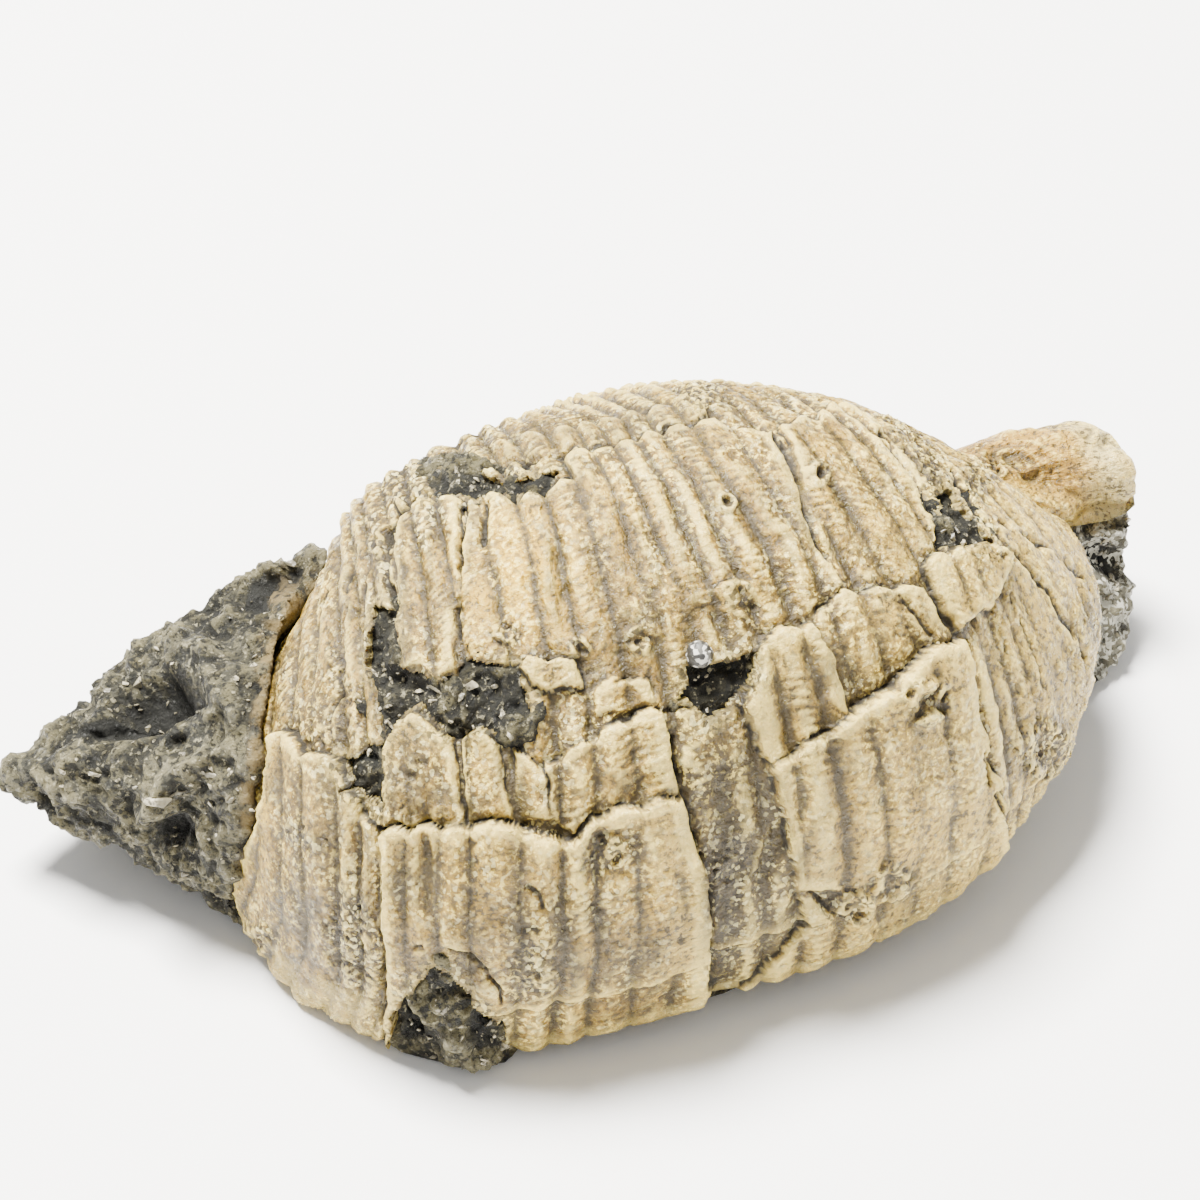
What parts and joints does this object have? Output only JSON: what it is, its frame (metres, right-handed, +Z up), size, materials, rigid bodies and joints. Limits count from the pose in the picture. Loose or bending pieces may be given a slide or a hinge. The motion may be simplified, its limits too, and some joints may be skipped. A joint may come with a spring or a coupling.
{
  "type": "brachiopod fossil",
  "caption": "Large fossil brachiopod: one strongly arched, ribbed valve with broken growth layers, lying on the grey limestone that fills it.",
  "frame": {"origin": "middle of the footprint, on the surface the fossil rests on", "axes": "+X along the hinge line towards the long right ear, -Y towards the front margin of the valve, +Z up through the arched side"},
  "size_m": [0.0926, 0.0432, 0.0369],
  "materials": {
    "shell": "satin cream and tan calcite",
    "matrix": "rough grey limestone"
  },
  "bodies": {
    "root": {"shell": "shell", "matrix": "matrix"}
  },
  "joints": []
}
